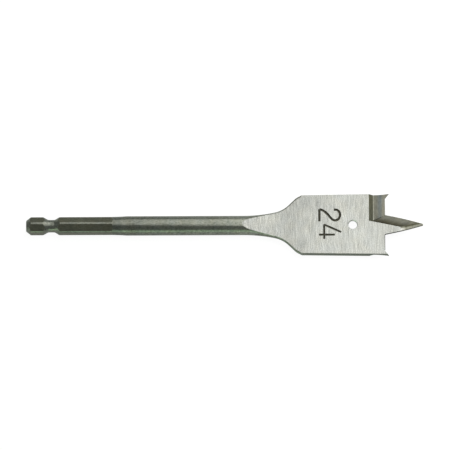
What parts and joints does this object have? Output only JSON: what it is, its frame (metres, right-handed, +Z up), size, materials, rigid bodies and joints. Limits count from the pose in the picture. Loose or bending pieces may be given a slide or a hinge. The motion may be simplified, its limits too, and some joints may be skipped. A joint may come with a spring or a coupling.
{
  "type": "spade drill bit",
  "caption": "Flat spade bit for boring wood: hex quick-change shank with a catch groove, round shaft, pierced flat blade with hooked cutting lips, outer spurs and a centre point.",
  "frame": {"origin": "on the surface the bit lies on, below the middle of its length, on the line under its axis", "axes": "+X along the axis from the shank to the centre point, +Z up from the surface, square to the flat blade, +Y across the blade"},
  "size_m": [0.1524, 0.024, 0.0074],
  "materials": {
    "steel": "ground bright on the blade's faces with the grain across it, dark satin on the shank, shaft, hooks and point"
  },
  "bodies": {
    "root": {"spade_bit": "steel"}
  },
  "joints": []
}
